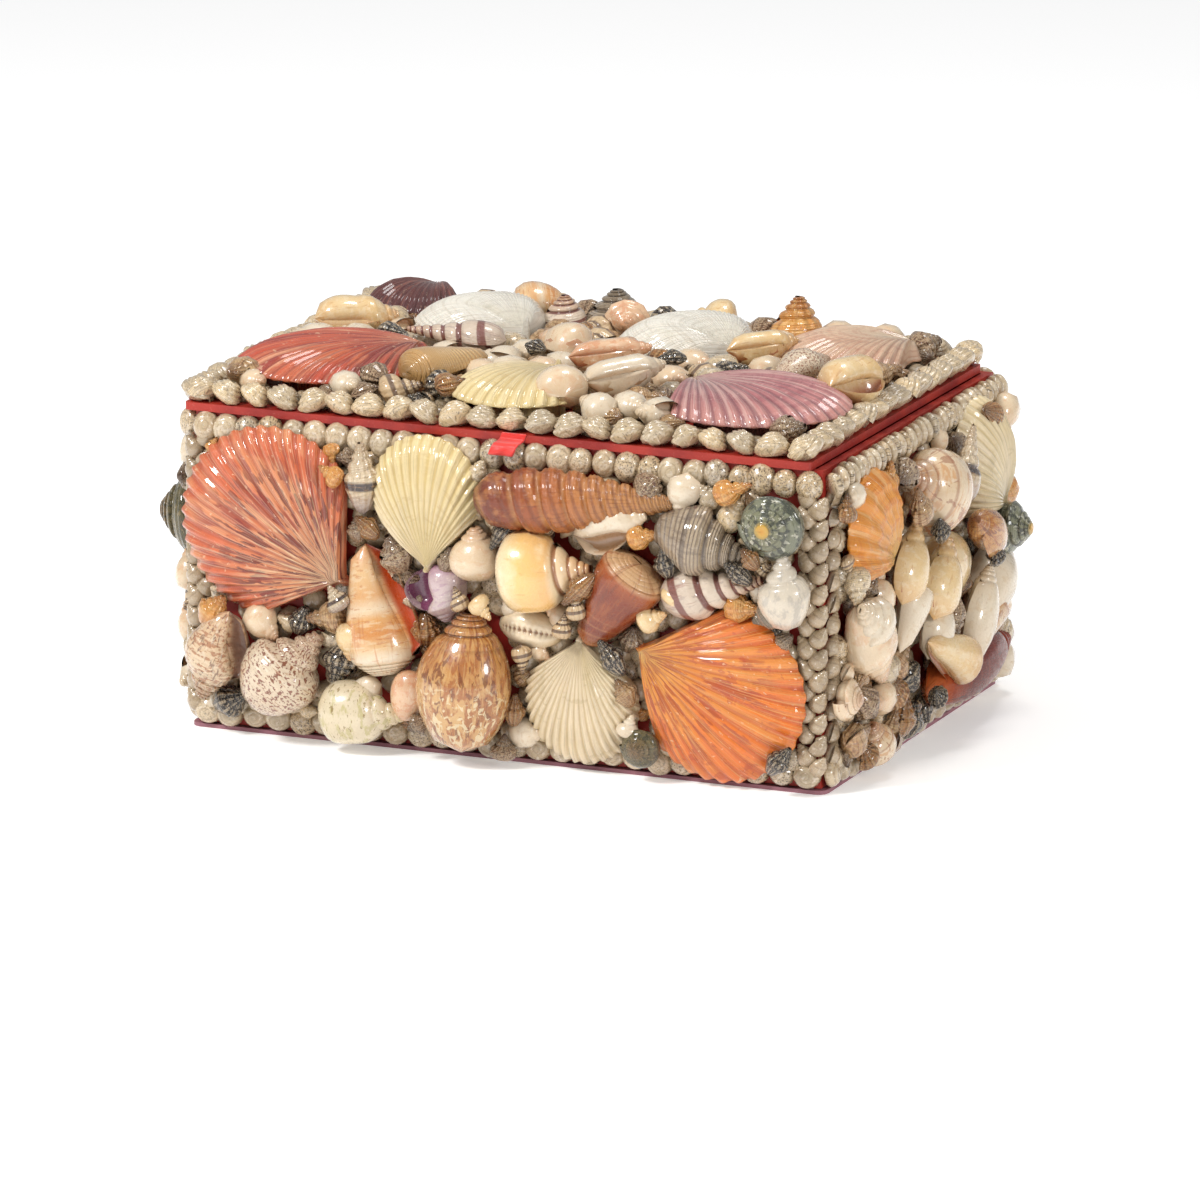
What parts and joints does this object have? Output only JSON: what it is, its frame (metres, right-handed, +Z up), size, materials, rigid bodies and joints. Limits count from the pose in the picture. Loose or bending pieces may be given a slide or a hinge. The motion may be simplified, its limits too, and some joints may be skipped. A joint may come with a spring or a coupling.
{
  "type": "shell covered keepsake box",
  "caption": "Rectangular keepsake box with a lift-off lid and a ribbon tab, its walls and lid covered with glued sea shells and rows of button shells.",
  "frame": {"origin": "centre of the base board's underside", "axes": "+X along the box's long side, +Y from the front with the ribbon tab to the back, +Z up"},
  "size_m": [0.3062, 0.2225, 0.152],
  "materials": {
    "back_cockle": "varnished shell",
    "back_scallop": "varnished shell",
    "base_edge": "matte mauve edge",
    "red_paper": "matte red paper",
    "brown_cone": "varnished shell",
    "button_shells": "pearly, varnished",
    "cowrie": "varnished shell",
    "cream_moon_snail": "varnished shell",
    "frog_shell": "varnished shell",
    "green_turban": "varnished shell",
    "grey_whelk": "varnished shell",
    "helmet_shell": "varnished shell",
    "left_scallop": "varnished shell",
    "left_turban": "varnished shell",
    "lid_back_turban": "varnished shell",
    "lid_coral_scallop": "varnished shell",
    "lid_mauve_scallop": "varnished shell",
    "lid_orange_snail": "varnished shell",
    "lid_pink_scallop": "varnished shell",
    "lid_plum_scallop": "varnished shell",
    "lid_spire_snail": "varnished shell",
    "lid_tan_cone": "varnished shell",
    "lid_white_clam_left": "varnished shell",
    "lid_white_clam_right": "varnished shell",
    "lid_yellow_scallop": "varnished shell",
    "mottled_turban": "varnished shell",
    "orange_lipped_conch": "varnished shell",
    "orange_scallop": "varnished shell",
    "purple_snail": "varnished shell",
    "red_ribbon": "satin",
    "right_brown_olive": "varnished shell",
    "right_conch": "varnished shell",
    "right_moon_snail": "varnished shell",
    "right_orange_scallop": "varnished shell",
    "right_tan_shell": "varnished shell",
    "right_white_cockle": "varnished shell",
    "right_white_olive": "varnished shell",
    "rose_scallop": "varnished shell",
    "striped_whelk": "varnished shell",
    "tall_volute": "varnished shell",
    "tan_moon_snail": "varnished shell",
    "turret_shell": "varnished shell",
    "white_cockle": "varnished shell",
    "yellow_cockle": "varnished shell"
  },
  "bodies": {
    "root": {"back_cockle": "back_cockle", "back_scallop": "back_scallop", "base_board": "base_edge", "box_walls": "red_paper", "brown_cone": "brown_cone", "corner_beads_back_left": "button_shells", "corner_beads_back_right": "button_shells", "corner_beads_front_left": "button_shells", "corner_beads_front_right": "button_shells", "cowrie": "cowrie", "cream_moon_snail": "cream_moon_snail", "foot_bead_row_back": "button_shells", "foot_bead_row_front": "button_shells", "foot_bead_row_left": "button_shells", "foot_bead_row_right": "button_shells", "frog_shell": "frog_shell", "green_turban": "green_turban", "grey_whelk": "grey_whelk", "helmet_shell": "helmet_shell", "left_scallop": "left_scallop", "left_turban": "left_turban", "lid_back_turban": "lid_back_turban", "lid_bead_row_back": "button_shells", "lid_bead_row_front": "button_shells", "lid_bead_row_left": "button_shells", "lid_bead_row_right": "button_shells", "lid_board": "red_paper", "lid_coral_scallop": "lid_coral_scallop", "lid_mauve_scallop": "lid_mauve_scallop", "lid_orange_snail": "lid_orange_snail", "lid_pink_scallop": "lid_pink_scallop", "lid_plum_scallop": "lid_plum_scallop", "lid_spire_snail": "lid_spire_snail", "lid_tan_cone": "lid_tan_cone", "lid_white_clam_left": "lid_white_clam_left", "lid_white_clam_right": "lid_white_clam_right", "lid_yellow_scallop": "lid_yellow_scallop", "mottled_turban": "mottled_turban", "orange_lipped_conch": "orange_lipped_conch", "orange_scallop": "orange_scallop", "purple_snail": "purple_snail", "ribbon_tab": "red_ribbon", "right_brown_olive": "right_brown_olive", "right_conch": "right_conch", "right_moon_snail": "right_moon_snail", "right_orange_scallop": "right_orange_scallop", "right_tan_shell": "right_tan_shell", "right_white_cockle": "right_white_cockle", "right_white_olive": "right_white_olive", "rim_bead_row_back": "button_shells", "rim_bead_row_front": "button_shells", "rim_bead_row_left": "button_shells", "rim_bead_row_right": "button_shells", "rose_scallop": "rose_scallop", "striped_whelk": "striped_whelk", "tall_volute": "tall_volute", "tan_moon_snail": "tan_moon_snail", "turret_shell": "turret_shell", "white_cockle": "white_cockle", "yellow_cockle": "yellow_cockle"}
  },
  "joints": []
}
